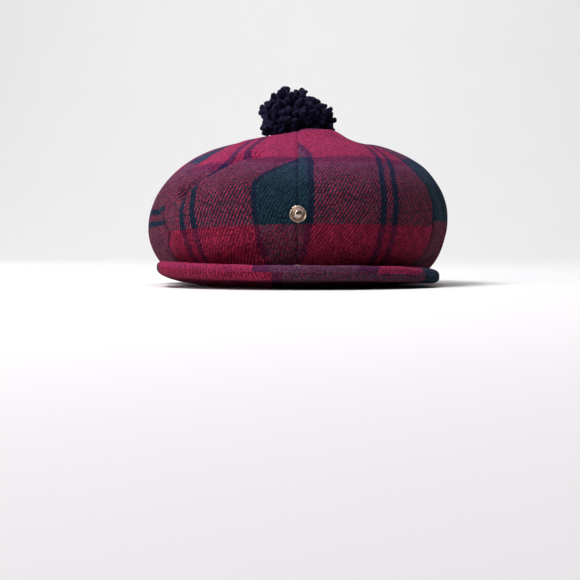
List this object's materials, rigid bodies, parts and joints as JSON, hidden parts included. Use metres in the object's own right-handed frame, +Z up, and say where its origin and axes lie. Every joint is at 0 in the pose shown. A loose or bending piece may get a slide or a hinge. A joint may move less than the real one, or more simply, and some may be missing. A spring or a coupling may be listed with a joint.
{
  "type": "peaked tam o'shanter cap",
  "caption": "Soft wool tartan cap with a wide panelled crown gathered to a headband, a thick stiffened peak with a press stud above it, and a yarn pompom on top.",
  "frame": {"origin": "centre of the cap's footprint, on the surface it rests on", "axes": "-Y towards the peak's front edge, +X towards the wearer's left, +Z up through the pompom"},
  "size_m": [0.2406, 0.2976, 0.156],
  "materials": {
    "crown_tartan": "brushed wool twill in a red, plum, navy and green tartan",
    "band_cloth": "dark folded cotton twill strip",
    "peak_tartan": "brushed wool twill in the crown's tartan over a stiffener",
    "stud_nickel": "bright nickel plate, warm, lightly tarnished at its rim",
    "pompom_yarn": "loose twisted wool yarn, very dark navy"
  },
  "bodies": {
    "root": {"panel_front_left": "crown_tartan", "panel_front_right": "crown_tartan", "panel_side_left": "crown_tartan", "panel_side_right": "crown_tartan", "panel_back_left": "crown_tartan", "panel_back_right": "crown_tartan", "headband": "band_cloth", "peak_top": "peak_tartan", "peak_under": "peak_tartan", "snap_stud": "stud_nickel", "snap_socket": "stud_nickel", "pompom": "pompom_yarn"}
  },
  "joints": []
}
